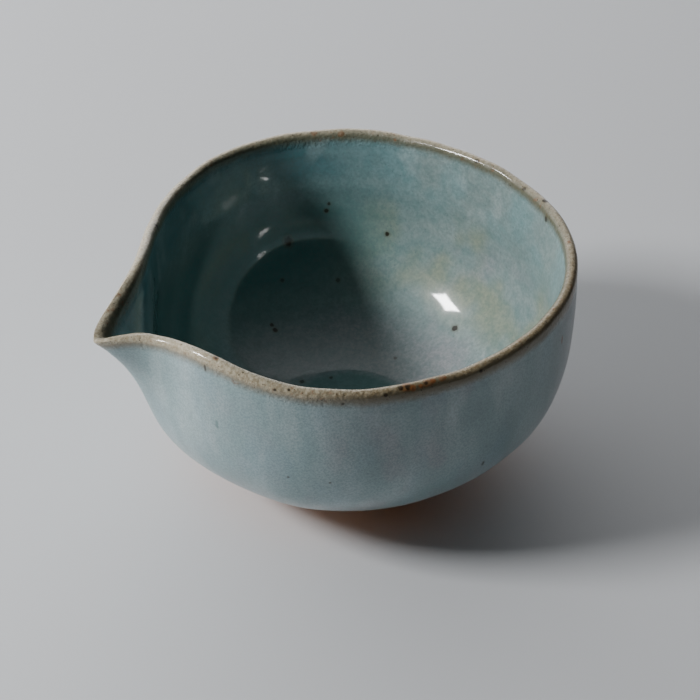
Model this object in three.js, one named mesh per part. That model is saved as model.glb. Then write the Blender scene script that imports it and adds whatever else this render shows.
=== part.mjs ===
// Spouted pouring bowl: one thrown stoneware body whose spout is pulled out of its own rim, with a
// poured coat of glaze inside, a dipped coat outside and a thin coat over the lip between them.
// Millimetres, +Z up, the spout towards +X, standing on its turned foot at z = 0.

import * as THREE from "three";
import { mergeVertices } from "three/addons/utils/BufferGeometryUtils.js";

// Thrown body
const BODY_RADIUS = 65.4; // outside of the clay at its widest circle
const BODY_HEIGHT = 69.4; // mean height of the clay's lip
const BELLY_HEIGHT = 51.4; // height of the widest circle
const BELLY_BOTTOM = 4.6; // height at which the belly's curve would close under the bowl
const BELLY_FULLNESS = 2.85; // power of the belly's curve: 2 is an ellipse, more is squarer
const LIP_LEAN = 0.4; // how far the wall leans in from the widest circle up to the lip
const LIP_THICKNESS = 2.6; // clay at the lip
const WALL_THICKNESS = 4.4; // clay at the widest circle
const FLOOR_HEIGHT = 6.7; // top of the clay at the middle of the floor
const CAVITY_FULLNESS = 2.45; // power of the inside curve, rounder than the belly

// Turned foot
const FOOT_RADIUS = 28; // where the foot leaves the belly
const FOOT_TAPER = 1.2; // the foot is this much narrower at the table
const FOOT_RING_WIDTH = 4.6; // width of the face that the bowl stands on
const FOOT_BEVEL = 0.8; // bevel on both edges of that face
const FOOT_RECESS = 2.6; // depth of the hollow inside the ring at its edge
const FOOT_DOME = 0.4; // how much deeper the hollow is at its middle

// Glaze coats
const GLAZE_COAT = 0.6; // thickness on the walls
const LIP_COAT = 0.45; // thickness over the lip, where the glaze runs thin
const POOL_DEPTH = 1.5; // thickness of the pool at the middle of the floor
const POOL_RADIUS = 20.5; // radius of the pool
const GLAZE_LINE_RADIUS = 50; // where the outer coat ends under the belly
const LIP_BAND = 3; // height of the lip coat below the lip, inside and out

// Spout, pulled from the rim by hand
const SPOUT_REACH = 16.9; // how far its tip stands out past the round wall
const SPOUT_LEFT_ANGLE = 6.65; // degrees round the rim to +Y at which the reach is down to a third
const SPOUT_RIGHT_ANGLE = 11.3; // the same to -Y, where the flank is straighter
const SPOUT_LEFT_POINT = 1.33; // power of the plan at +Y: 1 is a straight point, 2 is round
const SPOUT_RIGHT_POINT = 1.67; // the same at -Y
const SPOUT_GATHER = 3.45; // power with which the pull grows from the floor to the lip
const SPOUT_RISE = 6.4; // height of the raised shoulders on both sides of the spout
const SPOUT_RISE_ANGLE = 33.4; // degrees over which they fade
const SPOUT_DIP = 8.3; // depth of the pouring dip between them
const SPOUT_DIP_ANGLE = 14.6; // degrees over which the dip fades

// Hand-made unevenness of the rim: size in millimetres and the direction of its high side in degrees
const RIM_TILT = 2.2;
const RIM_TILT_TOWARDS = 245;
const RIM_SADDLE = 2.3;
const RIM_SADDLE_TOWARDS = 5;
const PLAN_OVAL = 2.1;
const PLAN_OVAL_TOWARDS = 60;
const PLAN_LOBES = 3.3;
const PLAN_LOBES_TOWARDS = 23;

// Facets
const COLUMNS = 60; // columns round the bowl, closer together at the spout
const COLUMN_CROWDING = 0.6; // 0 spaces them evenly
const BELLY_STEPS = 9;
const WALL_STEPS = 4;
const LIP_STEPS = 4;
const CAVITY_STEPS = 10;
const FOOT_DOME_STEPS = 3;

const radians = THREE.MathUtils.degToRad;
const point = (radius, height) => new THREE.Vector2(radius, height);

// Numbers from 0 to 1 in equal steps.
const fractions = (steps) => Array.from({ length: steps + 1 }, (_, i) => i / steps);

// Point of a squared quarter ellipse, from its lowest point on the axis (turn 0) to its side (turn 1).
function quarter(radius, top, bottom, power, turn) {
  const angle = (turn * Math.PI) / 2;
  const across = Math.sin(angle) ** (2 / power);
  const down = Math.max(Math.cos(angle), 0) ** (2 / power);
  return point(turn === 0 ? 0 : radius * across, turn === 1 ? top : top - (top - bottom) * down);
}

// Turn at which the quarter ellipse reaches a radius.
const turnAt = (radius, fullRadius, power) =>
  (Math.asin((radius / fullRadius) ** (power / 2)) * 2) / Math.PI;

// Outside radius of the round clay wall at a height.
function outsideRadius(height) {
  if (height >= BELLY_HEIGHT) {
    const rise = Math.min((height - BELLY_HEIGHT) / (BODY_HEIGHT - BELLY_HEIGHT), 1);
    return BODY_RADIUS - LIP_LEAN * rise ** 2;
  }
  const drop = Math.min((BELLY_HEIGHT - height) / (BELLY_HEIGHT - BELLY_BOTTOM), 1);
  return BODY_RADIUS * (1 - drop ** BELLY_FULLNESS) ** (1 / BELLY_FULLNESS);
}

// Share of the hand-pulled shape at a height: none at the floor and below, all of it at the lip.
const pulledShare = (height) =>
  THREE.MathUtils.clamp((height - FLOOR_HEIGHT) / (BODY_HEIGHT - FLOOR_HEIGHT), 0, 1.1);

// Reach of the spout past the round wall, falling away on both sides of +X.
function spoutReach(angle) {
  const flank = radians(angle > 0 ? SPOUT_LEFT_ANGLE : SPOUT_RIGHT_ANGLE);
  const power = angle > 0 ? SPOUT_LEFT_POINT : SPOUT_RIGHT_POINT;
  return SPOUT_REACH * Math.exp(-((Math.abs(angle) / flank) ** power));
}

// Height that the uneven rim and the spout's shoulders and dip add to the lip.
function rimWave(angle) {
  const fade = (degrees) => Math.exp(-((angle / radians(degrees)) ** 2));
  return (
    RIM_TILT * Math.cos(angle - radians(RIM_TILT_TOWARDS)) +
    RIM_SADDLE * Math.cos(2 * (angle - radians(RIM_SADDLE_TOWARDS))) +
    SPOUT_RISE * fade(SPOUT_RISE_ANGLE) -
    SPOUT_DIP * fade(SPOUT_DIP_ANGLE)
  );
}

// Out-of-round of the rim, which every radius is moved by.
const planWave = (angle) =>
  PLAN_OVAL * Math.cos(2 * (angle - radians(PLAN_OVAL_TOWARDS))) +
  PLAN_LOBES * Math.cos(3 * (angle - radians(PLAN_LOBES_TOWARDS)));

// What the hand adds to the round wall's radius at an angle and a height.
function pull(angle, height) {
  const share = pulledShare(height);
  return planWave(angle) * share + spoutReach(angle) * share ** SPOUT_GATHER;
}

// Moves a point of the round bowl to its place on the pulled one. The wall keeps its thickness: a
// point inside it is drawn in further where the pulled wall runs aslant to the radius.
function shaped(angle, radius, height) {
  const share = pulledShare(height);
  if (share === 0 || radius === 0) return { radius, height };
  const wall = outsideRadius(height);
  const step = radians(0.5);
  const rise = pull(angle + step, height) - pull(angle - step, height);
  const slope = rise / (2 * step) / (wall + pull(angle, height));
  const depth = THREE.MathUtils.clamp(wall - radius, -GLAZE_COAT, WALL_THICKNESS + GLAZE_COAT);
  const aslant = depth * (Math.sqrt(1 + slope ** 2) - 1);
  return {
    radius: radius + pull(angle, height) - aslant,
    height: height + rimWave(angle) * share,
  };
}

// Clay surface that carries glaze, from the glaze line up the outside, over the lip and down the
// inside to the middle of the floor, in three stretches that share their end points.
function clayStretches() {
  const start = turnAt(GLAZE_LINE_RADIUS, BODY_RADIUS, BELLY_FULLNESS);
  const belly = fractions(BELLY_STEPS).map((f) =>
    quarter(BODY_RADIUS, BELLY_HEIGHT, BELLY_BOTTOM, BELLY_FULLNESS, start + (1 - start) * f),
  );
  const lipRadius = LIP_THICKNESS / 2;
  const lipCentre = point(outsideRadius(BODY_HEIGHT) - lipRadius, BODY_HEIGHT - lipRadius);
  const bandHeight = lipCentre.y - LIP_BAND;
  const upperWall = fractions(WALL_STEPS)
    .slice(1)
    .map((f) => THREE.MathUtils.lerp(BELLY_HEIGHT, bandHeight, f))
    .map((height) => point(outsideRadius(height), height));

  const lip = fractions(LIP_STEPS)
    .map((f) => f * Math.PI)
    .map((a) => point(lipCentre.x + lipRadius * Math.cos(a), lipCentre.y + lipRadius * Math.sin(a)));

  const insideRadius = BODY_RADIUS - WALL_THICKNESS;
  const innerLip = lip.at(-1);
  const innerWall = fractions(WALL_STEPS).map((f) => {
    const height = THREE.MathUtils.lerp(bandHeight, BELLY_HEIGHT, f);
    const down = (innerLip.y - height) / (innerLip.y - BELLY_HEIGHT);
    return point(THREE.MathUtils.lerp(innerLip.x, insideRadius, down), height);
  });
  const cavity = fractions(CAVITY_STEPS)
    .slice(1)
    .map((f) => quarter(insideRadius, BELLY_HEIGHT, FLOOR_HEIGHT, CAVITY_FULLNESS, 1 - f));

  const outside = [...belly, ...upperWall];
  const inside = [...innerWall, ...cavity];
  return { outside, overLip: [outside.at(-1), ...lip, inside[0]], inside };
}

// Underside, from the middle of the hollow under the bowl out to the glaze line.
function underside() {
  const inner = FOOT_RADIUS - FOOT_TAPER - FOOT_RING_WIDTH;
  const outer = FOOT_RADIUS - FOOT_TAPER;
  const dome = fractions(FOOT_DOME_STEPS).map((f) =>
    point(inner * f, FOOT_RECESS + FOOT_DOME * (1 - f ** 2)),
  );
  const footTop = turnAt(FOOT_RADIUS, BODY_RADIUS, BELLY_FULLNESS);
  return [
    ...dome,
    point(inner, FOOT_BEVEL),
    point(inner + FOOT_BEVEL, 0),
    point(outer - FOOT_BEVEL, 0),
    point(outer, FOOT_BEVEL),
    quarter(BODY_RADIUS, BELLY_HEIGHT, BELLY_BOTTOM, BELLY_FULLNESS, footTop),
  ];
}

// Outer face of a coat that lies on a stretch of clay. The thickness is a function of the point.
function coatFace(stretch, neighbours, thickness) {
  return stretch.map((here) => {
    const index = neighbours.indexOf(here);
    const before = neighbours[Math.max(index - 1, 0)];
    const after = neighbours[Math.min(index + 1, neighbours.length - 1)];
    const along = after.clone().sub(before).normalize();
    const outwards = here.x === 0 ? point(0, 1) : point(along.y, -along.x);
    return here.clone().addScaledVector(outwards, thickness(here));
  });
}

// Splits each four-cornered facet of a lathe along its shorter diagonal, so that a coat and the clay
// under it have the same facets, and leaves out facets that have shrunk to a line at the axis.
function facets(geometry) {
  const place = geometry.attributes.position;
  const corner = (index) => new THREE.Vector3().fromBufferAttribute(place, index);
  const lathe = Array.from(geometry.index.array);
  const faces = [];
  for (let i = 0; i < lathe.length; i += 6) {
    const [a, b, d, c] = lathe.slice(i, i + 4);
    const firstShorter =
      corner(a).distanceToSquared(corner(c)) < corner(b).distanceToSquared(corner(d));
    faces.push(...(firstShorter ? [[a, b, c], [a, c, d]] : [[a, b, d], [b, c, d]]));
  }
  return faces.filter(([a, b, c]) => a !== b && b !== c && c !== a).flat();
}

// Sweeps a closed outline round the axis, then pulls the spout and the rim's waves into it.
function thrown(name, outline, look) {
  const turned = new THREE.LatheGeometry(outline, COLUMNS);
  turned.rotateX(Math.PI / 2);
  turned.deleteAttribute("normal");
  turned.deleteAttribute("uv");
  const geometry = mergeVertices(turned);

  const place = geometry.attributes.position;
  for (let i = 0; i < place.count; i += 1) {
    const even = Math.atan2(place.getY(i), place.getX(i));
    const angle = even - COLUMN_CROWDING * Math.sin(even);
    const radius = Math.hypot(place.getX(i), place.getY(i));
    const moved = shaped(angle, radius < 1e-4 ? 0 : radius, place.getZ(i));
    place.setXYZ(i, moved.radius * Math.cos(angle), moved.radius * Math.sin(angle), moved.height);
  }
  geometry.setIndex(facets(geometry));
  geometry.computeVertexNormals();

  const mesh = new THREE.Mesh(geometry, new THREE.MeshStandardMaterial(look));
  mesh.name = name;
  return mesh;
}

const clay = clayStretches();
const glazedPath = [...clay.outside, ...clay.overLip.slice(1, -1), ...clay.inside];

// Coat thickness: feathered out at the glaze line, thin over the lip, deep in the pool.
function coatAt(here) {
  if (here === clay.outside[0]) return 0;
  if (clay.overLip.includes(here)) return LIP_COAT;
  if (clay.outside.includes(here)) return GLAZE_COAT;
  const inPool = Math.max(1 - (here.x / POOL_RADIUS) ** 2, 0);
  return here.y < BELLY_HEIGHT ? GLAZE_COAT + (POOL_DEPTH - GLAZE_COAT) * inPool : GLAZE_COAT;
}

const coatOn = (stretch) => coatFace(stretch, glazedPath, coatAt);
const skin = (stretch) => [...stretch, ...coatOn(stretch).reverse(), stretch[0]].reverse();

const bowl = new THREE.Group();
bowl.add(
  thrown("clay_body", [...underside(), ...glazedPath], {
    color: 0x9a6a48,
    roughness: 0.85,
    metalness: 0,
  }),
  thrown("glaze_outside", skin(clay.outside), {
    color: 0x93a5aa,
    roughness: 0.3,
    metalness: 0,
  }),
  thrown("glaze_lip", skin(clay.overLip), {
    color: 0x9c937f,
    roughness: 0.3,
    metalness: 0,
  }),
  thrown("glaze_inside", [...[...clay.inside].reverse(), ...coatOn(clay.inside)], {
    color: 0x7d979c,
    roughness: 0.15,
    metalness: 0,
  }),
);

// The origin is the middle of the bowl's outer box, on the table.
const box = new THREE.Box3().setFromObject(bowl);
const middle = box.getCenter(new THREE.Vector3());
bowl.position.set(-middle.x, -middle.y, -box.min.z);
bowl.updateMatrixWorld(true);

const group = new THREE.Group();
group.add(bowl);
export default group;
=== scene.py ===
"""Spouted pouring bowl: thrown stoneware with a pulled spout, dressed in a grey-blue celadon glaze."""

import math

import bpy
import numpy as np
from bpy.props import FloatProperty, FloatVectorProperty, IntProperty, PointerProperty
from bpy.types import Operator, Panel, PropertyGroup
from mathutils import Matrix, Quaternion, Vector


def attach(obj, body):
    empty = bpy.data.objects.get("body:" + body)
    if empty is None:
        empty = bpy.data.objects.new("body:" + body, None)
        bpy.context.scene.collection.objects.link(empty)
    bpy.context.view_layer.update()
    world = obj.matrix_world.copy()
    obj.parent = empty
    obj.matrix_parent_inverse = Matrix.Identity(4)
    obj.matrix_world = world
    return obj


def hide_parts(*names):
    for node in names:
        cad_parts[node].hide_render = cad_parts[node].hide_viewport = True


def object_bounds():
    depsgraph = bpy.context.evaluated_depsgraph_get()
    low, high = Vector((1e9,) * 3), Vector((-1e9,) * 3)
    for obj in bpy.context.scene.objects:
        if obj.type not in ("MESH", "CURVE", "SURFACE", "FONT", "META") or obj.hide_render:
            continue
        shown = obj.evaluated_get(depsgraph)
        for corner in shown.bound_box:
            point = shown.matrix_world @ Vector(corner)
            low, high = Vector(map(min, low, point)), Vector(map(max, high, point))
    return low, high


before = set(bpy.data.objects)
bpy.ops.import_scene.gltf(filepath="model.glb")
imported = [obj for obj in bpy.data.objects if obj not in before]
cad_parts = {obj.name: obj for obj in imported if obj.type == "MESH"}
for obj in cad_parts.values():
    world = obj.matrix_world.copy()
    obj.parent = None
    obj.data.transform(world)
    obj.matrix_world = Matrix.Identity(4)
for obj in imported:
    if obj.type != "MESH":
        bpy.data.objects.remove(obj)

bl_info = {
    "name": "Spouted Bowl",
    "version": (1, 0, 0),
    "blender": (4, 5, 0),
    "location": "View3D > Sidebar > Bowl",
    "description": "A thrown stoneware bowl with a pulled spout and a celadon glaze",
    "category": "Add Mesh",
}

CAD_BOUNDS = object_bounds()
MM = 0.001
ROOT_BODY = "root"
SHARP_ANGLE = math.radians(50)

# Points of the glazed line, before it is divided into rows: on each long curve, the wall and the lip
CURVE_POINTS = 400
WALL_POINTS = 200
LIP_POINTS = 100

# Rows on the bare belly, and distance between rows on the foot
BARE_ROWS = 16
FOOT_STEP = 0.6 * MM

# How the bowl's box is measured: turns round it, and one in so many points of the glazed line
BOX_TURNS = 721
BOX_SKIP = 4

# The glaze settings that colour the spots
IRON, RUST, DEEP = "iron_colour", "rust_colour", "inside_deep"

# Spots, as turn in degrees, millimetres past the lip (positive outside), radius in millimetres, how
# much taller than wide, strength and colour
MARKS = (
    (-103.4, -35.8, 1.35, 1.2, 1.0, IRON),
    (-115.9, -27.3, 0.8, 1, 0.85, IRON),
    (-116.9, -24.9, 0.6, 1, 0.7, IRON),
    (-135.3, -34.3, 0.8, 1, 0.9, IRON),
    (-171.9, -56.8, 1.0, 1, 0.9, IRON),
    (-87.6, -60.8, 0.6, 1, 0.7, IRON),
    (-87.6, -62.8, 0.8, 1, 0.8, IRON),
    (-78.2, -84.2, 0.8, 1, 0.7, IRON),
    (-105.0, -87.2, 0.6, 1, 0.6, IRON),
    (-98.7, -47.8, 0.7, 1, 0.45, IRON),
    (-118.9, -50.4, 0.7, 1, 0.45, IRON),
    (-154.2, -75.8, 0.6, 1, 0.5, IRON),
    (24.4, 3.7, 0.4, 2.6, 0.75, IRON),
    (26.6, 0.0, 0.9, 1, 0.6, RUST),
    (26.6, 0.0, 0.4, 1, 0.8, IRON),
    (41.3, 1.8, 0.4, 1, 0.8, IRON),
    (44.3, 1.0, 0.4, 1, 0.8, IRON),
    (56.2, 3.5, 0.4, 1, 0.8, IRON),
    (66.1, 1.6, 0.6, 1, 0.8, IRON),
    (91.6, 1.8, 0.5, 1, 0.8, IRON),
    (123.4, 12.4, 0.5, 2.5, 0.7, RUST),
    (94.1, 38.0, 0.5, 2.0, 0.7, IRON),
    (43.3, 32.2, 0.4, 1, 0.6, IRON),
    (53.1, 32.6, 0.4, 1, 0.6, IRON),
    (26.3, 21.4, 0.5, 3.0, 0.4, DEEP),
    (167.4, 0.1, 0.9, 1, 0.85, IRON),
    (175.6, -1.1, 0.7, 1.3, 0.7, IRON),
    (163.1, -3.4, 0.7, 1.5, 0.7, IRON),
    (-165.0, -1.1, 0.8, 1, 0.8, IRON),
    (-113.2, -0.6, 1.1, 1, 0.4, RUST),
    (-120.6, -1.4, 1.1, 1, 0.4, RUST),
    (-42.1, -1.3, 0.6, 2.5, 0.85, IRON),
    (71.5, 0.8, 1.9, 0.5, 0.7, RUST),
    (77.0, 0.9, 1.7, 0.5, 0.6, RUST),
    (81.0, 0.7, 1.4, 0.4, 0.5, RUST),
    (69.9, 0.6, 0.7, 1, 0.8, IRON),
    (71.7, 0.7, 0.8, 1, 0.85, IRON),
    (72.9, 1.1, 0.9, 1, 0.7, RUST),
    (74.9, 1.1, 0.7, 1, 0.75, RUST),
    (78.3, 0.6, 0.8, 1, 0.75, RUST),
    (76.4, 0.7, 0.5, 1, 0.8, IRON),
    (81.7, 0.5, 0.5, 1, 0.6, RUST),
    (33.7, 0.4, 0.3, 1, 0.6, IRON),
)

# Share of each spot's strength in the brown halo round it
HALO = 0.4

# Arch of the lip beside the spout, as bell curves: turn and width in degrees, height in millimetres
SPOUT_LUMPS = ((5.5, 3.0, 1.0), (15.0, 4.5, -0.55), (0.0, 1.5, -0.9))

# Power with which the lumps grow up to the lip
LUMP_GATHER = 8

# Soft glows of the room, as turn and elevation in degrees, and strength
GLOWS = ((320, 42, 0.48), (235, 45, 0.72))

# Heights of the backdrop's lamps as shares of its own, and the share of its height that a lamp stands
# further back, so that they don't lie in one another
BACKDROP_SHARES = (0.4, 0.7, 1.0, 1.3, 1.9)
BACKDROP_SETBACK = 0.01


def length(name, millimetres, description):
    """A length property, given in millimetres and kept in metres."""
    return FloatProperty(
        name=name, description=description, default=millimetres * MM, unit="LENGTH", precision=5
    )


def angle(name, degrees, description):
    """An angle property, given in degrees and kept in radians."""
    return FloatProperty(
        name=name, description=description, default=math.radians(degrees), subtype="ANGLE"
    )


def number(name, value, description):
    """A plain number property."""
    return FloatProperty(name=name, description=description, default=value)


def light(name, red, green, blue, description):
    """A colour property, given and kept as linear light."""
    return FloatVectorProperty(
        name=name, description=description, default=(red, green, blue), subtype="COLOR", min=0, max=1
    )


def colour(name, red, green, blue, description):
    """A colour property, given as 0 to 255 display values and kept as linear light."""
    linear = [((value / 255 + 0.055) / 1.055) ** 2.4 for value in (red, green, blue)]
    return light(name, *linear, description)


class BowlSizes(PropertyGroup):
    """Sizes of the thrown body and its turned foot."""

    body_radius: length("Body radius", 65.4, "Outside of the clay at its widest circle")
    body_height: length("Body height", 69.4, "Mean height of the clay's lip")
    belly_height: length("Belly height", 51.4, "Height of the widest circle")
    belly_bottom: length("Belly bottom", 4.6, "Where the belly's curve would close")
    belly_fullness: number("Belly fullness", 2.85, "Power of the belly's curve, 2 is an ellipse")
    lip_lean: length("Lip lean", 0.4, "How far the wall leans in up to the lip")
    lip_thickness: length("Lip thickness", 2.6, "Clay at the lip")
    wall_thickness: length("Wall thickness", 4.4, "Clay at the widest circle")
    floor_height: length("Floor height", 6.7, "Top of the clay in the middle of the floor")
    cavity_fullness: number("Cavity fullness", 2.45, "Power of the inside curve")
    foot_radius: length("Foot radius", 28, "Where the foot leaves the belly")
    foot_taper: length("Foot taper", 1.2, "How much narrower the foot is at the table")
    foot_ring_width: length("Foot ring width", 4.6, "Width of the face that it stands on")
    foot_bevel: length("Foot bevel", 0.8, "Bevel on both edges of that face")
    foot_recess: length("Foot recess", 2.6, "Depth of the hollow inside the ring")
    foot_dome: length("Foot dome", 0.4, "How much deeper the hollow is in the middle")


class SpoutSizes(PropertyGroup):
    """Sizes of the pulled spout and of the rim's hand-made unevenness."""

    reach: length("Reach", 16.9, "How far the tip stands out past the round wall")
    left_angle: angle("Left flank", 6.65, "Turn to +Y at which the reach is down to a third")
    right_angle: angle("Right flank", 11.3, "The same to -Y")
    left_point: number("Left point", 1.33, "Power of the plan at +Y, 1 is a straight point")
    right_point: number("Right point", 1.67, "The same at -Y")
    gather: number("Gather", 3.45, "Power with which the pull grows up to the lip")
    rise: length("Shoulder rise", 6.4, "Height of the raised shoulders beside the spout")
    rise_angle: angle("Shoulder width", 33.4, "Turn over which they fade")
    dip: length("Dip", 8.3, "Depth of the pouring dip between them")
    dip_angle: angle("Dip width", 14.6, "Turn over which it fades")
    tilt: length("Rim tilt", 2.2, "Height of the rim's high side")
    tilt_towards: angle("Tilt direction", 245, "Direction of the high side")
    saddle: length("Rim saddle", 2.3, "Height of the rim's two high sides")
    saddle_towards: angle("Saddle direction", 5, "Direction of one of them")
    oval: length("Oval plan", 2.1, "Out-of-round of the rim, two-sided")
    oval_towards: angle("Oval direction", 60, "Direction of its long side")
    lobes: length("Lobed plan", 3.3, "Out-of-round of the rim, three-sided")
    lobes_towards: angle("Lobe direction", 23, "Direction of one lobe")
    lump: length("Lip lumps", 0.3, "Size of the small lumps along the lip")


class GlazeSettings(PropertyGroup):
    """Thickness, relief and colours of the glaze coats and the bare clay."""

    coat: length("Coat", 0.6, "Thickness on the walls")
    lip_coat: length("Lip coat", 0.45, "Thickness over the lip")
    pool_depth: length("Pool depth", 1.5, "Thickness of the pool in the middle of the floor")
    pool_radius: length("Pool radius", 20.5, "Radius of the pool")
    line_radius: length("Glaze line", 50, "Where the outer coat ends under the belly")
    roll: length("Glaze roll", 0.5, "Extra thickness of the rolled edge at the glaze line")
    lip_band: length("Lip band", 3, "Height of the lip coat below the lip")
    cream_ends: length("Cream band", 2.3, "Where the lip's cream ends")
    ochre_ends: length("Ochre band", 5.8, "Where the ochre under the cream has faded outside")
    brown_ends: length("Brown band", 4.6, "Where the brown has faded inside")
    # Direction of the inner side with deeper teal and painted shade: the wall there is turned from the
    # key light
    deep_and_shaded_towards: angle("Deep side", -52, "Direction of the side that is deeper inside")
    # Direction of the painted shade outside: the side turned from the key light
    shaded_towards: angle("Dark side", 105, "Direction of the side that is deeper outside")
    # Direction of the painted rosy reflection of the lit floor on the outside, by the right edge of the
    # view
    rosy_reflection_towards: angle("Rosy side", 150, "Direction of the side with a rosy tinge outside")
    # Direction of the browner part of the lip: partly iron-rich glaze, partly painted shade on the side
    # away from the key light
    iron_and_shade_towards: angle("Iron side", 102, "Direction of the part of the lip that is browner")
    ring_depth: length("Ring depth", 0.02, "Depth of the throwing rings inside")
    ring_pitch: length("Ring pitch", 6.5, "Distance between two throwing rings")
    dent_depth: length("Dent depth", 0.35, "Depth of the soft finger dents outside")
    outside_colour: colour("Outside", 173, 191, 193, "Grey-blue of the outer coat")
    outside_deep: colour("Outside deep", 144, 168, 170, "The same where the coat is thick")
    blue_colour: colour("Outside blue", 138, 166, 178, "Bluer streaks of the outer coat")
    # Also the colour of the painted reflection at the outer edge and of the pale ring round the inner
    # pool
    mauve_colour: colour("Mauve", 164, 157, 163, "Greyer patches of the outer and the inner coat")
    # Also the colour of the painted shade on the outer side away from the key light
    outside_dark: colour("Outside grain", 84, 102, 106, "Fine dark grain in both coats")
    roll_colour: colour("Glaze roll", 196, 208, 208, "Pale edge at the glaze line, and pale patches")
    inside_colour: colour("Inside", 142, 158, 156, "Grey-blue of the inner coat")
    # Also the colour of the painted shade on the inner side away from the key light
    inside_deep: colour("Inside deep", 42, 102, 102, "Teal of the inner coat where it is thick")
    # Dark teal high on the side away from the key light: partly the glaze's own teal, partly painted
    # shade
    teal_colour: colour("Inside teal", 26, 108, 120, "Clear teal high on the deeper side")
    cyan_colour: colour("Inside high", 134, 163, 165, "Clear blue-green high on the inside")
    olive_colour: colour("Olive", 148, 154, 128, "Olive tint half-way down the inside")
    lip_colour: colour("Lip", 184, 175, 152, "Cream of the thin glaze over the lip")
    ochre_colour: colour("Ochre", 126, 110, 80, "Where the lip's cream ends on the outside")
    lip_brown: colour("Lip brown", 92, 84, 56, "Inner end of the lip's cream, and round iron spots")
    iron_colour: colour("Iron", 34, 26, 16, "Brown-black of the iron spots")
    rust_colour: colour("Rust", 124, 74, 36, "Orange-brown where iron bleeds")
    clay_colour: colour("Clay", 214, 148, 88, "Orange-brown of the bare clay")
    clay_dark: colour("Clay shade", 168, 106, 58, "Darker patches of the bare clay")


class StageSettings(PropertyGroup):
    """The floor, the lights and the camera."""

    floor_width: length("Floor width", 6000, "Side of the square floor")
    floor_colour: colour("Floor", 196, 198, 201, "Pale grey of the floor")
    key_turn: angle("Key turn", -21.8, "Direction of the key light, from +X towards +Y")
    key_elevation: angle("Key elevation", 36.5, "Height of the key light above the horizon")
    key_distance: length("Key distance", 950, "From the key light to the bowl")
    key_width: length("Key width", 240, "Width of the key light")
    key_height: length("Key height", 140, "Height of the key light")
    key_tilt: angle("Key tilt", -25, "How far the key light leans to one side")
    key_power: number("Key power", 11.3, "Watts of the key light")
    backdrop_turn: angle("Backdrop turn", 258, "Direction of the lit backdrop")
    backdrop_distance: length("Backdrop distance", 1500, "From the backdrop to the bowl")
    backdrop_width: length("Backdrop width", 3000, "Width of the backdrop")
    backdrop_height: length("Backdrop height", 640, "Height of the backdrop above the table")
    backdrop_power: number("Backdrop power", 48, "Watts that the backdrop sends out")
    room_colour: light("Room", 0.87, 0.88, 0.9, "Colour of the dim room")
    glow_sharpness: number("Glow sharpness", 8, "Power of the cosine by which each glow fades")
    room_strength: number("Room strength", 0.03, "Brightness of the dim room")
    camera_elevation: angle("Camera elevation", 36.55, "Height of the view above the horizon")
    camera_turn: angle("Camera turn", 57.3, "Direction of the view, from +X towards +Y")
    camera_distance: length("Camera distance", 531.5, "From the lens to the point it looks at")
    camera_lens: number("Lens", 87.5, "Focal length in millimetres")
    aim: FloatVectorProperty(
        name="Aim", description="Point that the camera looks at", unit="LENGTH", precision=5,
        default=(-15.04 * MM, -6.41 * MM, 24.17 * MM),
    )


class DetailSettings(PropertyGroup):
    """How finely the surfaces are divided."""

    columns: IntProperty(name="Columns", description="Columns round the bowl", default=360)
    crowding: number("Crowding", 0.6, "How much closer the columns are at the spout")
    row_step: length("Row step", 0.9, "Distance between rows on a visible face")
    hidden_step: length("Hidden row step", 2.5, "Distance between rows on a hidden face")


def settings(context):
    """All five groups of settings on the scene."""
    return tuple(getattr(context.scene, name) for name in GROUPS)


# Shape of the thrown bowl


def quarter(radius, top, bottom, power, turn):
    """Squared quarter ellipse: radius times sin, and top less drop times cos, both to the 2/power."""
    across = np.sin(turn * np.pi / 2) ** (2 / power)
    down = np.clip(np.cos(turn * np.pi / 2), 0, 1) ** (2 / power)
    return np.stack([radius * across, top - (top - bottom) * down], axis=1)


def belly_curve(bowl, turn):
    """Quarter ellipse of the clay's outside, from the axis under the bowl to its widest circle."""
    return quarter(bowl.body_radius, bowl.belly_height, bowl.belly_bottom, bowl.belly_fullness, turn)


def belly_turn(bowl, radius):
    """Share of that curve's turn at which it reaches a radius."""
    return math.asin((radius / bowl.body_radius) ** (bowl.belly_fullness / 2)) * 2 / math.pi


def outside_radius(bowl, height):
    """Outside radius of the round wall: a squared ellipse up to the belly, then a lean squared."""
    rise = np.clip((height - bowl.belly_height) / (bowl.body_height - bowl.belly_height), 0, 1)
    drop = np.clip((bowl.belly_height - height) / (bowl.belly_height - bowl.belly_bottom), 0, 1)
    belly = bowl.body_radius * (1 - drop**bowl.belly_fullness) ** (1 / bowl.belly_fullness)
    return belly - bowl.lip_lean * rise**2


def lip_centre(bowl):
    """Centre of the half circle that rounds the lip, as radius and height."""
    half = bowl.lip_thickness / 2
    return outside_radius(bowl, bowl.body_height) - half, bowl.body_height - half


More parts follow.
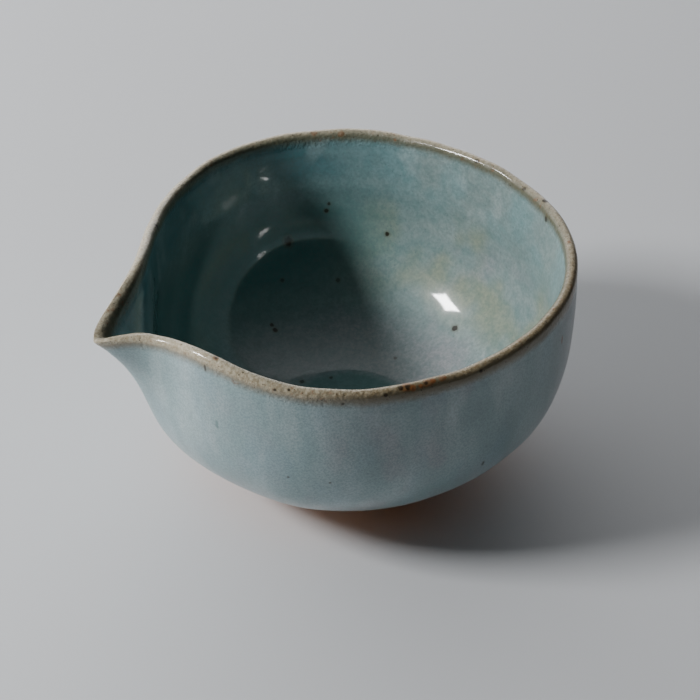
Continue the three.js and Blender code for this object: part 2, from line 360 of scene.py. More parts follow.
def glazed_path(bowl, glaze):
    """Clay line under the glaze, from the glaze line up, over the lip and down to the floor's middle.

    Quarter ellipse, leaning wall, half circle, straight inner wall, quarter ellipse."""
    start = belly_turn(bowl, glaze.line_radius)
    turns = np.linspace(0, 1, CURVE_POINTS)
    belly = belly_curve(bowl, start + (1 - start) * turns)
    half = bowl.lip_thickness / 2
    centre_r, centre_z = lip_centre(bowl)
    heights = np.linspace(bowl.belly_height, centre_z, WALL_POINTS)
    wall = np.stack([outside_radius(bowl, heights), heights], axis=1)
    over = np.linspace(0, np.pi, LIP_POINTS)
    lip = np.stack([centre_r + half * np.cos(over), centre_z + half * np.sin(over)], axis=1)
    inner_radius = bowl.body_radius - bowl.wall_thickness
    down = np.linspace(0, 1, WALL_POINTS)[:, None]
    inner_wall = (1 - down) * lip[-1] + down * np.array([inner_radius, bowl.belly_height])
    cavity = quarter(
        inner_radius, bowl.belly_height, bowl.floor_height, bowl.cavity_fullness, turns[::-1]
    )
    cavity[-1, 0] = 0
    return np.concatenate([belly[:-1], wall[:-1], lip[:-1], inner_wall[:-1], cavity])


def lengths_along(path):
    """Distance along a line of points from its first point."""
    steps = np.linalg.norm(np.diff(path, axis=0), axis=1)
    return np.concatenate([[0], np.cumsum(steps)])


def resample(path, at, values=None):
    """Points of a line, or values given at its points, at distances along it."""
    along = lengths_along(path)
    source = path if values is None else values
    return np.stack([np.interp(at, along, source[:, k]) for k in range(2)], axis=1)


def outward_normals(path):
    """Unit normals to the right-hand side of a line in the half plane, level with it at the axis."""
    along = np.gradient(path, axis=0)
    along /= np.linalg.norm(along, axis=1, keepdims=True)
    normals = np.stack([along[:, 1], -along[:, 0]], axis=1)
    normals[path[:, 0] <= 0] = (0, 1)
    return normals


def spout_reach(spout, theta):
    """Reach of the spout at an angle: exp of minus (angle / flank) to a power, its own on each side."""
    flank = np.where(theta > 0, spout.left_angle, spout.right_angle)
    power = np.where(theta > 0, spout.left_point, spout.right_point)
    return spout.reach * np.exp(-((np.abs(theta) / flank) ** power))


def rim_wave(spout, theta):
    """Height that tilt, saddle, shoulders and dip add to the lip: cosines and bell curves."""
    rise = spout.rise * np.exp(-((theta / spout.rise_angle) ** 2))
    dip = spout.dip * np.exp(-((theta / spout.dip_angle) ** 2))
    tilt = spout.tilt * np.cos(theta - spout.tilt_towards)
    return tilt + spout.saddle * np.cos(2 * (theta - spout.saddle_towards)) + rise - dip


def plan_wave(spout, theta):
    """Out-of-round of the rim: a two-sided and a three-sided cosine."""
    oval = spout.oval * np.cos(2 * (theta - spout.oval_towards))
    return oval + spout.lobes * np.cos(3 * (theta - spout.lobes_towards))


def pulled_share(bowl, height):
    """Share of the hand-pulled shape: none at the floor, all at the lip, at most a tenth more."""
    return np.clip((height - bowl.floor_height) / (bowl.body_height - bowl.floor_height), 0, 1.1)


def pull(bowl, spout, theta, height):
    """What the hand adds to the round wall's radius at an angle and a height."""
    share = pulled_share(bowl, height)
    return plan_wave(spout, theta) * share + spout_reach(spout, theta) * share**spout.gather


def shaped(bowl, spout, glaze, theta, radius, height):
    """Places of round-bowl points on the pulled bowl, as x, y, z arrays.

    The radius gains the pull, less depth times (square root of 1 + slope squared, less 1), so that
    the wall keeps its thickness where it runs aslant; the height gains the rim's wave, which fades
    out in the pool."""
    share = pulled_share(bowl, height)
    wall = outside_radius(bowl, height)
    step = math.radians(0.5)
    rise = pull(bowl, spout, theta + step, height) - pull(bowl, spout, theta - step, height)
    out = wall + pull(bowl, spout, theta, height)
    slope = rise / (2 * step) / np.maximum(out, bowl.lip_thickness)
    depth = np.clip(wall - radius, -glaze.coat, bowl.wall_thickness + glaze.coat)
    aslant = depth * (np.sqrt(1 + slope**2) - 1)
    moved = (radius > 0) & (share > 0)
    new_radius = radius + np.where(moved, pull(bowl, spout, theta, height) - aslant, 0)
    wave = rim_wave(spout, theta) * share + lip_lumps(spout, theta) * share**LUMP_GATHER
    new_height = height + wave * smooth_step(radius, 0, glaze.pool_radius)
    return new_radius * np.cos(theta), new_radius * np.sin(theta), new_height


def lip_lumps(spout, theta):
    """Small lumps of the lip: three cosines with no common beat, and bell curves beside the spout."""
    even = 0.5 * np.cos(9 * theta + 1.1) + 0.35 * np.cos(16 * theta + 4.0) + 0.25 * np.cos(27 * theta)
    turn = np.degrees(np.arctan2(np.sin(theta), np.cos(theta)))
    arch = sum(
        height * np.exp(-(((turn - middle) / width) ** 2)) for middle, width, height in SPOUT_LUMPS
    )
    return spout.lump * even + arch * MM


def column_angles(detail):
    """Angles of the columns, closer together at the spout: each less the crowding times its sine."""
    even = np.arange(detail.columns) * 2 * np.pi / detail.columns - np.pi
    return even - detail.crowding * np.sin(even)


def bowl_centre(bowl, spout, glaze):
    """Place of the thrower's axis in the frame, from the pulled bowl's box and the frame's box."""
    theta = np.linspace(-np.pi, np.pi, BOX_TURNS)
    at = lengths_along(glazed_path(bowl, glaze))
    face = glaze_face(bowl, glaze, at)[0][::BOX_SKIP]
    radius, turn = np.meshgrid(face[:, 0], theta)
    height, _ = np.meshgrid(face[:, 1], theta)
    x, y, _ = shaped(bowl, spout, glaze, turn, radius, height)
    box = (Vector(CAD_BOUNDS[0]) + Vector(CAD_BOUNDS[1])) / 2
    return box.x - (x.max() + x.min()) / 2, box.y - (y.max() + y.min()) / 2


# Meshes


def lathe_faces(rows, columns, closed):
    """Corner indices of the quads and triangles between rings of vertices.

    Vertex numbers run ring by ring. Where the outline isn't closed on itself, one vertex on the axis
    comes before the first ring and one after the last."""
    ring = np.arange(columns)
    after = (ring + 1) % columns
    offset = 0 if closed else 1
    count = rows if closed else rows - 1
    lower = offset + np.arange(count)[:, None] * columns
    upper = offset + ((np.arange(count) + 1) % rows)[:, None] * columns
    quads = np.stack([lower + ring, lower + after, upper + after, upper + ring], axis=2).reshape(-1, 4)
    if closed:
        return quads, np.zeros((0, 3), int)
    last = offset + (rows - 1) * columns
    first_fan = np.stack([np.zeros_like(ring), offset + after, offset + ring], axis=1)
    last_fan = np.stack([last + ring, last + after, np.full_like(ring, last + columns)], axis=1)
    return quads, np.concatenate([first_fan, last_fan])


def signed_area(outline):
    """Area inside a closed outline, positive where it runs anticlockwise."""
    x, y = outline[:, 0], outline[:, 1]
    return 0.5 * np.sum(x * np.roll(y, -1) - np.roll(x, -1) * y)


def add_object(name, data):
    """A new object of the scene."""
    made = bpy.data.objects.new(name, data)
    bpy.context.scene.collection.objects.link(made)
    return made


def add_piece(name, stands_for, material, points, from_lip, faces):
    """Makes a mesh object, sets it to ride and to stand for its CAD node, and gives it its finish."""
    quads, triangles = faces
    mesh = bpy.data.meshes.new(name)
    mesh.vertices.add(len(points))
    mesh.vertices.foreach_set("co", points.astype(np.float32).ravel())
    corners = np.concatenate([triangles.ravel(), quads.ravel()])
    sizes = np.concatenate([np.full(len(triangles), 3), np.full(len(quads), 4)])
    mesh.loops.add(len(corners))
    mesh.loops.foreach_set("vertex_index", corners)
    mesh.polygons.add(len(sizes))
    mesh.polygons.foreach_set("loop_start", np.concatenate([[0], np.cumsum(sizes)[:-1]]))
    mesh.update(calc_edges=True)
    mesh.validate()
    mesh.shade_smooth()
    mesh.set_sharp_from_angle(angle=SHARP_ANGLE)
    layer = mesh.attributes.new("from_lip", "FLOAT", "POINT")
    layer.data.foreach_set("value", from_lip.astype(np.float32))
    mesh.materials.append(material)
    piece = add_object(name, mesh)
    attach(piece, ROOT_BODY)
    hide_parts(stands_for)


def throwing_rings(glaze, theta, at):
    """Rings left by the thrower's fingers: the sine of a spiral, of changing depth, and slow waves."""
    spiral = 2 * np.pi * at / glaze.ring_pitch + theta + 0.5 * np.sin(3 * theta + 1.0)
    strength = 0.6 + 0.4 * np.cos(2 * theta + at / (18 * MM))
    slow = 0.8 * np.cos(3 * theta + at / (16 * MM)) + 0.6 * np.cos(5 * theta - at / (11 * MM))
    return glaze.ring_depth * (np.sin(spiral) * strength + slow)


def finger_dents(glaze, theta, at):
    """Soft dents of the hands: three waves round the wall that lean as they go down."""
    down = at / (22 * MM)
    return glaze.dent_depth * (
        0.5 * np.cos(5 * theta + 1.3 + np.sin(down))
        + 0.3 * np.cos(9 * theta - 1.5 * down)
        + 0.2 * np.cos(14 * theta + 2 * down + 0.7)
    )


def thrown_points(context, outline, push, relief, at):
    """Turns an outline of radius and height round the axis and pulls it to shape.

    push gives the direction in which each point of the outline follows the relief."""
    bowl, spout, glaze, _, detail = settings(context)
    theta = np.broadcast_to(column_angles(detail), (len(outline), detail.columns))
    moved = relief(glaze, theta, at[:, None]) if relief else np.zeros_like(theta)
    radius = outline[:, :1] + push[:, :1] * moved
    height = outline[:, 1:] + push[:, 1:] * moved
    x, y, z = shaped(bowl, spout, glaze, theta, radius, height)
    centre_x, centre_y = bowl_centre(bowl, spout, glaze)
    return np.stack([x + centre_x, y + centre_y, z], axis=2)


def face_point(context, turn, past, middle):
    """Place on the glaze's face at a turn in degrees and a distance past the lip."""
    bowl, spout, glaze, _, _ = settings(context)
    face = glaze_face(bowl, glaze, np.array([band_ends(bowl, glaze)[1] - past]))[0]
    theta = np.array([math.radians(turn)])
    x, y, z = shaped(bowl, spout, glaze, theta, face[:, 0], face[:, 1])
    return float(x[0] + middle[0]), float(y[0] + middle[1]), float(z[0])


def turned_piece(context, name, node, material, line, relief=None):
    """Makes one piece from an outline: closed on itself, or running from the axis to the axis.

    The line is the outline, its points' distances along the glazed path and their pushes."""
    bowl, _, glaze, _, detail = settings(context)
    outline, at, push = line
    points = thrown_points(context, outline, push, relief, at)
    from_lip = band_ends(bowl, glaze)[1] - at
    closed = outline[0, 0] > 0
    rows = points if closed else points[1:-1]
    flat = rows.reshape(-1, 3)
    values = np.repeat(from_lip if closed else from_lip[1:-1], detail.columns)
    if not closed:
        flat = np.concatenate([points[0, :1], flat, points[-1, :1]])
        values = np.concatenate([from_lip[:1], values, from_lip[-1:]])
    faces = lathe_faces(len(rows), detail.columns, closed)
    if signed_area(outline) < 0:
        faces = [corners[:, ::-1] for corners in faces]
    add_piece(name, node, material, flat, values, faces)


def band_ends(bowl, glaze):
    """Distances along the glazed path where the lip coat starts, of the lip's top and where it ends."""
    path = glazed_path(bowl, glaze)
    along, heights = lengths_along(path), path[:, 1]
    top = int(np.argmax(heights))
    band_height = lip_centre(bowl)[1] - glaze.lip_band
    start = np.interp(band_height, heights[: top + 1], along[: top + 1])
    end = np.interp(-band_height, -heights[top:], along[top:])
    return float(start), float(along[top]), float(end)


def smooth_step(value, low, high):
    """0 below low, 1 above high and 3t squared less 2t cubed between them."""
    t = np.clip((value - low) / (high - low), 0, 1)
    return t * t * (3 - 2 * t)


def coat_thickness(bowl, glaze, at, radius):
    """Thickness of the glaze at distances along its path.

    It is feathered in at the glaze line with a low bead, thins over the lip, and fills the pool by a
    parabola of the radius."""
    start, top, end = band_ends(bowl, glaze)
    bead_at, bead_width, thinning = 2.0 * MM, 1.3 * MM, 3 * MM
    feather = smooth_step(at, -0.4 * MM, 1.4 * MM) * smooth_step(at, 0, 0.5 * MM)
    bead = glaze.roll * np.exp(-(((at - bead_at) / bead_width) ** 2))
    over_lip = smooth_step(at, start - thinning, start) * (1 - smooth_step(at, end, end + thinning))
    wall = glaze.coat * feather + bead * feather - (glaze.coat - glaze.lip_coat) * over_lip
    in_pool = np.clip(1 - (radius / glaze.pool_radius) ** 2, 0, 1) * (at > top)
    return wall + (glaze.pool_depth - glaze.coat) * in_pool


def glaze_face(bowl, glaze, at):
    """Points of the glaze's face at distances along the glazed path, its normals and its thickness."""
    path = glazed_path(bowl, glaze)
    base = resample(path, at)
    facing = resample(path, at, outward_normals(path))
    facing /= np.linalg.norm(facing, axis=1, keepdims=True)
    thickness = coat_thickness(bowl, glaze, at, base[:, 0])
    return base + facing * thickness[:, None], facing, thickness


def hidden_rows(detail, first, last):
    """Distances of the rows on a hidden face between two distances."""
    return np.linspace(first, last, max(int((last - first) / detail.hidden_step), 2) + 1)


def coat_outline(context, first, last, to_axis):
    """Outline of a coat between two distances along the glazed path, with distances and pushes.

    The clay side runs forward in long steps, and the face that shows runs back in short ones. The
    push is the normal of the face that shows, fading out at both of its ends."""
    bowl, _, glaze, _, detail = settings(context)
    hidden = hidden_rows(detail, first, last)
    shown = np.linspace(last, first, int((last - first) / detail.row_step) + 1)
    face, facing, thickness = glaze_face(bowl, glaze, shown)
    fade = 9 * MM
    push = facing * smooth_step(np.minimum(shown - first, last - shown), 0, fade)[:, None]
    clay_side = resample(glazed_path(bowl, glaze), hidden)
    sides = ((clay_side, face), (hidden, shown), (np.zeros_like(clay_side), push))
    if to_axis:
        face[0, 0] = clay_side[-1, 0] = 0
        return [np.concatenate([back[::-1], front[::-1]]) for back, front in sides]
    last_row = -1 if thickness[-1] <= 0 else None
    return [np.concatenate([back, front[:last_row]]) for back, front in sides]


def underside(bowl):
    """Underside from the axis out to the foot's top: a shallow dome, the ring and its bevels."""
    inner = bowl.foot_radius - bowl.foot_taper - bowl.foot_ring_width
    outer = bowl.foot_radius - bowl.foot_taper
    across = np.linspace(0, 1, int(inner / FOOT_STEP) + 1)
    dome = np.stack([inner * across, bowl.foot_recess + bowl.foot_dome * (1 - across**2)], axis=1)
    corners = np.array([
        [inner, bowl.foot_recess],
        [inner, bowl.foot_bevel],
        [inner + bowl.foot_bevel, 0],
        [outer - bowl.foot_bevel, 0],
        [outer, bowl.foot_bevel],
        belly_curve(bowl, np.array([belly_turn(bowl, bowl.foot_radius)]))[0],
    ])
    ring = resample(corners, np.arange(FOOT_STEP, lengths_along(corners)[-1], FOOT_STEP))
    ring[:, 1] = np.maximum(ring[:, 1], 0)
    return np.concatenate([dome, ring])


def clay_outline(context):
    """Whole outline of the clay, from the middle of the underside to the middle of the floor."""
    bowl, _, glaze, _, detail = settings(context)
    foot_turn, line_turn = belly_turn(bowl, bowl.foot_radius), belly_turn(bowl, glaze.line_radius)
    bare = belly_curve(bowl, np.linspace(foot_turn, line_turn, BARE_ROWS))
    path = glazed_path(bowl, glaze)
    ends = [0.0, *band_ends(bowl, glaze), float(lengths_along(path)[-1])]
    hidden = np.concatenate([
        hidden_rows(detail, first, last)[1:] for first, last in zip(ends[:-1], ends[1:])
    ])
    under_glaze = resample(path, hidden)
    under_glaze[-1, 0] = 0
    outline = np.concatenate([underside(bowl), bare, under_glaze])
    return outline, np.zeros(len(outline)), np.zeros_like(outline)


# Materials


class Wire:
    """An output socket of a node tree, with arithmetic that adds Math nodes."""

    def __init__(self, tree, socket):
        self.tree = tree
        self.socket = socket

    def node(self, kind, setup=None, output=0, **inputs):
        """Adds a node of a kind, sets it up, fills its inputs and returns one of its outputs.

        An input is named by its label with underscores for spaces, or by in and its number."""
        made = self.tree.nodes.new(f"ShaderNode{kind}")
        for key, value in (setup or {}).items():
            setattr(made, key, value)
        for label, value in inputs.items():
            slot = int(label[2:]) if label[2:].isdigit() else label.replace("_", " ")
            join(self.tree, made.inputs[slot], value)
        return Wire(self.tree, made.outputs[output])

    def math(self, operation, *values, kind="Math", output=0):
        """A Math node, or one of another kind with operations, on one or two values."""
        named = {f"in{i}": value for i, value in enumerate(values)}
        return self.node(kind, {"operation": operation}, output, **named)

    def scaled(self, x, y, z):
        """This vector with each axis scaled."""
        return self.math("MULTIPLY", self, (x, y, z), kind="VectorMath")

    def away_from(self, point):
        """The vector from a point to this one."""
        return self.math("SUBTRACT", self, point, kind="VectorMath")

    def vector_length(self):
        """Length of this vector."""
        return self.math("LENGTH", self, kind="VectorMath", output=1)

    def along(self, direction):
        """Length of this vector along a unit vector."""
        return self.math("DOT_PRODUCT", self, direction, kind="VectorMath", output=1)

    def __add__(self, other):
        return self.math("ADD", self, other)

    def __sub__(self, other):
        return self.math("SUBTRACT", self, other)

    def __mul__(self, other):
        return self.math("MULTIPLY", self, other)

    def __pow__(self, other):
        return self.math("POWER", self, other)

    def __rsub__(self, other):
        return self.math("SUBTRACT", other, self)

    def step(self, low, high):
        """0 below low, 1 above high and smooth between; falling where low is above high."""
        if low > high:
            return 1 - self.step(high, low)
        return self.node(
            "MapRange", {"interpolation_type": "SMOOTHSTEP"}, Value=self, From_Min=low, From_Max=high
        )

    def either(self, other):
        """The larger of two masks."""
        return self.math("MAXIMUM", self, other)

    def tint(self, first, second):
        """A colour that runs from the first at 0 to the second at 1."""
        return self.node("Mix", {"data_type": "RGBA"}, output=2, in0=self, in6=first, in7=second)


def join(tree, socket, value):
    """Links a wire to a socket, or sets the socket's own value."""
    if isinstance(value, Wire):
        tree.links.new(value.socket, socket)
    elif hasattr(socket.default_value, "__len__") and len(socket.default_value) == 4:
        socket.default_value = (*tuple(value)[:3], 1)
    else:
        socket.default_value = value


def layered(base, *layers):
    """A colour with others laid over it, each a mask and a colour."""
    for mask, over in layers:
        base = mask.tint(base, over)
    return base


class Finish:
    """A material being made: its tree, its surface shader and the inputs that patterns read."""

    def __init__(self, name, middle=(0, 0), **constants):
        self.material = bpy.data.materials.new(name)
        self.material.use_nodes = True
        self.middle = middle
        self.tree = self.material.node_tree
        self.shader = self.tree.nodes["Principled BSDF"]
        self.feed(**constants)
        start = Wire(self.tree, None)
        self.place = start.node("TexCoord", output="Object")
        self.from_lip = start.node("Attribute", {"attribute_name": "from_lip"}, output="Fac")
        self.ragged = self.noise(1.3, 2) - 0.5

    def feed(self, **inputs):
        """Links wires to the surface shader, or sets its own values."""
        for label, value in inputs.items():
            join(self.tree, self.shader.inputs[label.replace("_", " ")], value)

    def noise(self, size, detail=2.0, roughness=0.5, place=None):
        """Noise, from 0 to 1, whose features are about a size in millimetres across."""
        return self.place.node(
            "TexNoise", Vector=place or self.place, Scale=1 / (size * MM), Detail=detail,
            Roughness=roughness,
        )

    def specks(self, size, radius):
        """Round dots, one in each cell of a size in millimetres, out to a share of the cell."""
        distance = self.place.node("TexVoronoi", Vector=self.place, Scale=1 / (size * MM))
        return distance.step(radius, radius * 0.5)

    def spot(self, point, radius, tall):
        """A ragged spot at a point, taller than wide, and the halo round it, as two masks."""
        near = self.place.away_from(point).scaled(1, 1, 1 / tall).vector_length()
        edge = near + self.ragged * radius
        return edge.step(radius * 1.2, radius * 0.7), edge.step(radius * 2.0, radius * 0.9)

    def outwards(self):
        """The level way out from the middle to the place."""
        return self.place.away_from((*self.middle, 0)).scaled(1, 1, 0)

    def towards(self, turn):
        """Cosine of the angle between a direction on the table plane and the way out."""
        out = self.outwards()
        level = out.math("NORMALIZE", out, kind="VectorMath")
        return level.along((math.cos(turn), math.sin(turn), 0))

    def done(self, colours, relief, depth, strength=1.0):
        """Gives the surface its colours and a relief, from 0 to 1, and returns the material."""
        normal = self.place.node("Bump", Height=relief, Distance=depth, Strength=strength)
        self.feed(Base_Color=colours, Normal=normal)
        return self.material


def lip_tints(finish, glaze, base):
    """A base colour with cream over the lip that ends in ochre outside and olive-brown inside."""
    waver = (finish.noise(7, 3) - 0.5) * (1.6 * MM) + finish.ragged * (0.9 * MM)
    place = finish.from_lip + waver
    outer = place.step(glaze.ochre_ends, glaze.ochre_ends * 0.35)
    inner = place.step(-glaze.brown_ends, -glaze.brown_ends * 0.4)
    band = outer * inner
    ochred = outer * finish.from_lip.step(-1 * MM, 1 * MM)
    browned = inner * finish.from_lip.step(1 * MM, -1 * MM)
    # Browner part of the lip: partly iron and rust, partly painted shade on the side away from the key
    # light
    iron_and_shade_side = finish.towards(glaze.iron_and_shade_towards).step(0.5, 0.9)
    cream_out = (place + iron_and_shade_side * (1.5 * MM)).step(glaze.cream_ends * 1.4, glaze.cream_ends * 0.7)
    cream_in = place.step(-glaze.cream_ends * 0.8, glaze.cream_ends * 0.1)
    grain = finish.noise(0.9, 4, 0.75).step(0.4, 0.62)
    cream = (grain * 0.6 + iron_and_shade_side * 0.6).tint(glaze.lip_colour, glaze.ochre_colour)
    rust = finish.noise(2.4, 3, 0.6).step(0.58, 0.7) * finish.noise(12).step(0.48, 0.6)
    some = finish.noise(4).step(0.38, 0.5) * band
    freckles = (finish.specks(1.1, 0.17) * some).either(finish.specks(2.1, 0.13) * band)
    return layered(
        base,
        (ochred * 0.8, glaze.ochre_colour),
        (browned * 0.8, glaze.lip_brown),
        (iron_and_shade_side * ochred * 0.6, glaze.lip_brown),
        (cream_out * cream_in * 0.9, cream),
        (rust * band * 0.65, glaze.rust_colour),
        (finish.specks(0.7, 0.25) * band * 0.3, glaze.rust_colour),
        (freckles * 0.85, glaze.iron_colour),
    )


def marked(finish, glaze, marks, base, low, high):
    """A base colour with the spots, and their halos, that lie between two places past the lip."""
    for point, (_, past, radius, tall, strength, tint) in marks:
        if low < past < high:
            spot, halo = finish.spot(point, radius * MM, tall)
            around = (halo * (strength * HALO), glaze.lip_brown)
            base = layered(base, around, (spot * strength, getattr(glaze, tint)))
    return base


def outside_colours(finish, glaze):
    """Grey-blue with tall soft patches, greyer clouds, a fine grain and fine dark specks, painted shade
    on the side away from the key light and a painted rosy reflection near one edge.
    """
    tall = finish.place.scaled(1, 1, 0.4)
    # Side of the outside that the key light doesn't reach, where shade is painted
    shaded_side = finish.towards(glaze.shaded_towards)
    # Side where a rosy reflection of the lit floor is painted
    rosy_reflection_side = finish.towards(glaze.rosy_reflection_towards)
    patches = finish.noise(14, 2, place=tall).step(0.36, 0.64)
    greyer = finish.noise(14, 2, place=finish.place.scaled(1, 1, 0.7)).step(0.5, 0.68)
    streaks = finish.noise(11, 3, place=tall).step(0.48, 0.66)
    paler = finish.noise(9, 2, place=finish.place.scaled(1, 1, 0.3)).step(0.54, 0.68)
    edge = (finish.from_lip + (finish.noise(9) - 0.5) * (3 * MM)).step(54 * MM, 60 * MM)
    return layered(
        glaze.outside_colour,
        (patches, glaze.outside_deep),
        # Painted shade on the side away from the key light
        (shaded_side.step(0.4, 1) * 0.2, glaze.outside_dark),
        (greyer * (shaded_side.step(0, 0.8) * 0.3 + 0.1), glaze.mauve_colour),
        (streaks * 0.3, glaze.blue_colour),
        (paler * 0.3, glaze.roll_colour),
        # Painted reflection of the lit floor along that edge
        (rosy_reflection_side.step(0.8, 1) * 0.6, glaze.mauve_colour),
        (finish.noise(4.5, 3).step(0.32, 0.68) * 0.35, glaze.outside_deep),
        (finish.noise(0.6, 3, 0.7).step(0.36, 0.64) * 0.36, glaze.outside_dark),
        (finish.specks(0.8, 0.2) * 0.35, glaze.outside_dark),
        (edge * 0.6, glaze.roll_colour),
    )


def inside_colours(finish, glaze):
    """Grey-blue: cyan and teal under the lip, olive lower down, deep teal with painted shade by the
    spout, deep in the pool, and a pale ring round the pool that is partly painted reflection.
    """
    depth = 0 - finish.from_lip
    bands = finish.noise(6, 2, place=finish.place.scaled(0.25, 0.25, 1)).step(0.35, 0.65)
    clouds = finish.noise(16, 2).step(0.36, 0.64)
    blots = finish.noise(9, 1, place=finish.place.scaled(1, 1, 0.6)).step(0.56, 0.7)
    high = depth.step(30 * MM, 12 * MM)
    middling = depth.step(18 * MM, 28 * MM) * depth.step(62 * MM, 46 * MM)
    # Side of the inside that the key light doesn't reach: deeper teal, partly the glaze's own and partly
    # painted shade
    deep_and_shaded_side = finish.towards(glaze.deep_and_shaded_towards).step(-0.3, 0.7)
    pool = finish.outwards().vector_length() + finish.ragged * (2.5 * MM)
    pool = pool.step(glaze.pool_radius + 1 * MM, glaze.pool_radius - 2.6 * MM)
    olive = finish.noise(24, 2).step(0.44, 0.6) * middling * (1 - deep_and_shaded_side)
    greyer = finish.noise(18, 2).step(0.5, 0.66) * depth.step(22 * MM, 34 * MM)
    # On the side away from the key light the high band takes the dark teal, partly painted shade
    turquoise = (clouds * 0.4).tint(glaze.teal_colour, glaze.cyan_colour)
    clear = deep_and_shaded_side.tint(clouds.tint(glaze.cyan_colour, glaze.inside_colour), turquoise)
    # Mask of the pool's thick teal and of the painted shade on the side away from the key light; the
    # painted shade is weaker on the cavity's floor
    shade = (deep_and_shaded_side * (1 - high)).either(pool * 0.85) * depth.step(2 * MM, 8 * MM)
    floor = depth.step(40 * MM, 58 * MM) * 0.35
    # Pale ring round the pool: partly thinner glaze, partly a painted reflection of the lit backdrop
    thin = depth.step(54 * MM, 68 * MM) * (1 - pool)
    specks = finish.specks(1.3, 0.2) * finish.noise(6).step(0.4, 0.6)
    return layered(
        glaze.inside_colour,
        (bands * 0.22, glaze.inside_deep),
        (greyer * 0.3, glaze.mauve_colour),
        (high * 0.8, clear),
        (olive * 0.7, glaze.olive_colour),
        # Painted shade on the side away from the key light, and the pool's thick teal
        (shade * (0.85 - floor), glaze.inside_deep),
        # Painted reflection of the backdrop, and thinner glaze, round the pool
        (thin * 0.4, glaze.mauve_colour),
        (blots * high * 0.22, glaze.roll_colour),
        (finish.noise(3, 4, 0.7).step(0.42, 0.6) * 0.2, glaze.inside_deep),
        (finish.noise(1.0, 3, 0.65).step(0.34, 0.66) * 0.3, glaze.outside_dark),
        (specks * 0.45, glaze.outside_dark),
    )


def outside_finish(glaze, middle, marks):
    """Satin grey-blue celadon, ochre towards the lip and pale at its rolled lower edge."""
    finish = Finish("outside_celadon", middle, Roughness=0.28, IOR=1.5)
    colours = lip_tints(finish, glaze, outside_colours(finish, glaze))
    spotted = marked(finish, glaze, marks, colours, low=3, high=90)
    relief = finish.noise(0.8, 3) * 0.4 + finish.noise(5) * 0.6
    return finish.done(spotted, relief, depth=0.15 * MM, strength=0.5)


def inside_finish(glaze, middle, marks):
    """Glossy grey-blue celadon, deeper teal with painted shade by the spout and brown just under the lip.
    """
    finish = Finish(
        "inside_celadon", middle, Roughness=0.3, IOR=1.2, Coat_Weight=1, Coat_Roughness=0.07,
        Coat_IOR=1.56,
    )
    colours = lip_tints(finish, glaze, inside_colours(finish, glaze))
    spotted = marked(finish, glaze, marks, colours, low=-95, high=-3)
    return finish.done(spotted, finish.noise(9, 2), depth=0.06 * MM, strength=0.3)


def lip_finish(glaze, middle, marks):
    """Thin satin cream over the lip, between the colours of the outer and the inner coat."""
    finish = Finish("lip_break", middle, Roughness=0.45, IOR=1.3, Coat_Weight=0.6, Coat_Roughness=0.1)
    side = finish.from_lip.step(-2 * MM, 2 * MM)
    both = side.tint(inside_colours(finish, glaze), outside_colours(finish, glaze))
    spotted = marked(finish, glaze, marks, lip_tints(finish, glaze, both), low=-8, high=8)
    relief = finish.noise(2.2, 3) * 0.5 + finish.noise(1.1, 2) * 0.5
    return finish.done(spotted, relief, depth=0.5 * MM, strength=0.8)


def clay_finish(glaze):
    """Dry orange-brown stoneware with darker patches and sand grains."""
    finish = Finish("bare_stoneware", Roughness=0.85, IOR=1.45)
    cloud = finish.noise(14, 3).step(0.3, 0.7)
    sand = finish.specks(1.1, 0.25)
    patches, grains = (cloud * 0.6, glaze.clay_dark), (sand * 0.4, glaze.iron_colour)
    colours = layered(glaze.clay_colour, patches, grains)
    return finish.done(colours, finish.noise(0.5, 3), depth=0.15 * MM)


def floor_finish(stage):
    """Smooth pale grey paper, with painted light that makes it a little lighter towards the back."""
    finish = Finish("pale_paper", Roughness=0.8)
    cloud = finish.noise(300, 2)
    # Painted light: the paper grows lighter towards the back
    back = finish.towards(stage.camera_turn + math.pi).step(-1, 1)
    away = (finish.outwards().vector_length() * back).step(0.05, 0.6)
    grey, pale = (0.5, 0.5, 0.5), (0.72, 0.74, 0.78)
    finish.feed(Base_Color=layered(stage.floor_colour, (cloud * 0.04, grey), (away * 0.5, pale)))
    return finish.material


# Operators


class BOWL_OT_clay_body(Operator):
    """Makes the fired clay: foot, floor, wall and pulled spout in one piece."""

    bl_idname = "bowl.clay_body"
    bl_label = "Clay body"

    def execute(self, context):
        material = clay_finish(settings(context)[2])
        line = clay_outline(context)
        turned_piece(context, "fired_clay_body", "clay_body", material, line)
        return {"FINISHED"}


class BOWL_OT_glaze_coats(Operator):
    """Makes the three coats of glaze that lie on the clay."""

    bl_idname = "bowl.glaze_coats"
    bl_label = "Glaze coats"

    def execute(self, context):
        bowl, spout, glaze, _, _ = settings(context)
        start, _, end = band_ends(bowl, glaze)
        last = float(lengths_along(glazed_path(bowl, glaze))[-1])
        middle = bowl_centre(bowl, spout, glaze)
        marks = [(face_point(context, mark[0], mark[1] * MM, middle), mark) for mark in MARKS]
        coats = [
            ("outside_glaze_coat", "outside_glaze", "glaze_outside", outside_finish, finger_dents, start),
            ("lip_glaze_coat", "lip_glaze", "glaze_lip", lip_finish, None, end),
            ("inside_glaze_coat", "inside_glaze", "glaze_inside", inside_finish, throwing_rings, last),
        ]
        first = 0
        for name, slot, node, finish, relief, until in coats:
            line = coat_outline(context, first, until, until == last)
            turned_piece(context, name, node, finish(glaze, middle, marks), line, relief)
            first = until
        return {"FINISHED"}


class BOWL_OT_stage(Operator):
    """Makes the floor, the lights and the camera."""

    bl_idname = "bowl.stage"
    bl_label = "Stage"

    def execute(self, context):
        stage = settings(context)[3]
        make_floor(stage)
        make_lights(stage)
        make_camera(context, stage)
        return {"FINISHED"}


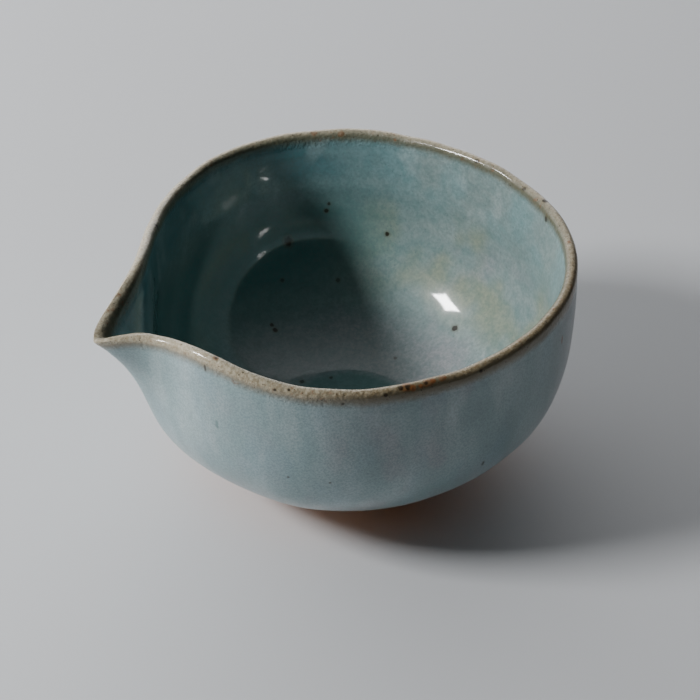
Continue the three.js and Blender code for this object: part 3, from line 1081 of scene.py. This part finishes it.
def make_floor(stage):
    """A square of paper on the table plane."""
    half = stage.floor_width / 2
    mesh = bpy.data.meshes.new("floor")
    corners = [(-half, -half, 0), (half, -half, 0), (half, half, 0), (-half, half, 0)]
    mesh.from_pydata(corners, [], [(0, 1, 2, 3)])
    mesh.materials.append(floor_finish(stage))
    add_object("floor", mesh)


def unit_vector(turn, elevation):
    """Unit vector in a direction, from its turn and its elevation."""
    level = math.cos(elevation)
    return Vector((math.cos(turn) * level, math.sin(turn) * level, math.sin(elevation)))


def add_lamp(name, direction, distance, size, power, height=30 * MM, tilt=0.0):
    """A rectangular lamp in a direction from a height over the origin, turned by a tilt."""
    panel = bpy.data.lights.new(name, "AREA")
    panel.energy = power
    panel.shape = "RECTANGLE"
    panel.size, panel.size_y = size
    lamp = add_object(name, panel)
    lamp.location = direction * distance + Vector((0, 0, height))
    turned = direction.to_track_quat("Z", "Y") @ Quaternion((0, 0, 1), tilt)
    lamp.rotation_euler = turned.to_euler()
    return lamp


def make_lights(stage):
    """A soft key light from the spout's side, a lit backdrop and a dim room with two soft glows.

    The backdrop is brightest low down, where its lamps overlap, and only its last one shows in the
    glaze. Each glow is a power of the cosine of the angle from its direction."""
    add_lamp(
        "key_light", unit_vector(stage.key_turn, stage.key_elevation), stage.key_distance,
        (stage.key_width, stage.key_height), stage.key_power, tilt=stage.key_tilt,
    )
    for share in BACKDROP_SHARES:
        height = stage.backdrop_height * share
        lamp = add_lamp(
            "backdrop", unit_vector(stage.backdrop_turn, 0),
            stage.backdrop_distance + height * BACKDROP_SETBACK, (stage.backdrop_width, height),
            stage.backdrop_power * share / sum(BACKDROP_SHARES), height / 2,
        )
        lamp.visible_glossy = share == BACKDROP_SHARES[-1]
    world = bpy.data.worlds.new("room")
    bpy.context.scene.world = world
    world.use_nodes = True
    background = world.node_tree.nodes["Background"]
    sky = Wire(world.node_tree, None).node("TexCoord", output="Generated")
    strength = stage.room_strength
    for turn, elevation, most in GLOWS:
        near = sky.along(unit_vector(math.radians(turn), math.radians(elevation)))
        strength = near.math("MAXIMUM", near, 0) ** stage.glow_sharpness * most + strength
    join(world.node_tree, background.inputs["Color"], stage.room_colour)
    join(world.node_tree, background.inputs["Strength"], strength)


def make_camera(context, stage):
    """The camera, by its direction and distance from the point that it looks at."""
    camera = bpy.data.cameras.new("camera")
    camera.lens = stage.camera_lens
    camera.sensor_width = 36
    camera.clip_start = 0.01
    camera.clip_end = 20
    back = unit_vector(stage.camera_turn, stage.camera_elevation)
    eye = add_object("camera", camera)
    eye.location = Vector(stage.aim) + back * stage.camera_distance
    eye.rotation_euler = back.to_track_quat("Z", "Y").to_euler()
    context.scene.camera = eye


class BOWL_PT_panel(Panel):
    """Lists the bowl's operators and settings."""

    bl_idname = "BOWL_PT_panel"
    bl_label = "Spouted Bowl"
    bl_space_type = "VIEW_3D"
    bl_region_type = "UI"
    bl_category = "Bowl"

    def draw(self, context):
        for operator in OPERATORS:
            self.layout.operator(operator.bl_idname)
        for group in settings(context):
            box = self.layout.box()
            for name in group.__annotations__:
                box.prop(group, name)


GROUPS = {
    "bowl_sizes": BowlSizes,
    "spout_sizes": SpoutSizes,
    "glaze_settings": GlazeSettings,
    "stage_settings": StageSettings,
    "detail_settings": DetailSettings,
}
OPERATORS = (BOWL_OT_clay_body, BOWL_OT_glaze_coats, BOWL_OT_stage)


def register():
    """Registers the classes and puts the settings on the scene."""
    for name, group in GROUPS.items():
        bpy.utils.register_class(group)
        setattr(bpy.types.Scene, name, PointerProperty(type=group))
    for made in (*OPERATORS, BOWL_PT_panel):
        bpy.utils.register_class(made)


def unregister():
    """Takes the settings and the classes away again."""
    for made in (BOWL_PT_panel, *reversed(OPERATORS)):
        bpy.utils.unregister_class(made)
    for name, group in reversed(GROUPS.items()):
        delattr(bpy.types.Scene, name)
        bpy.utils.unregister_class(group)


def main():
    """Registers the add-on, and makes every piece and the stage."""
    register()
    bpy.ops.bowl.clay_body()
    bpy.ops.bowl.glaze_coats()
    bpy.ops.bowl.stage()


if __name__ == "__main__":
    main()
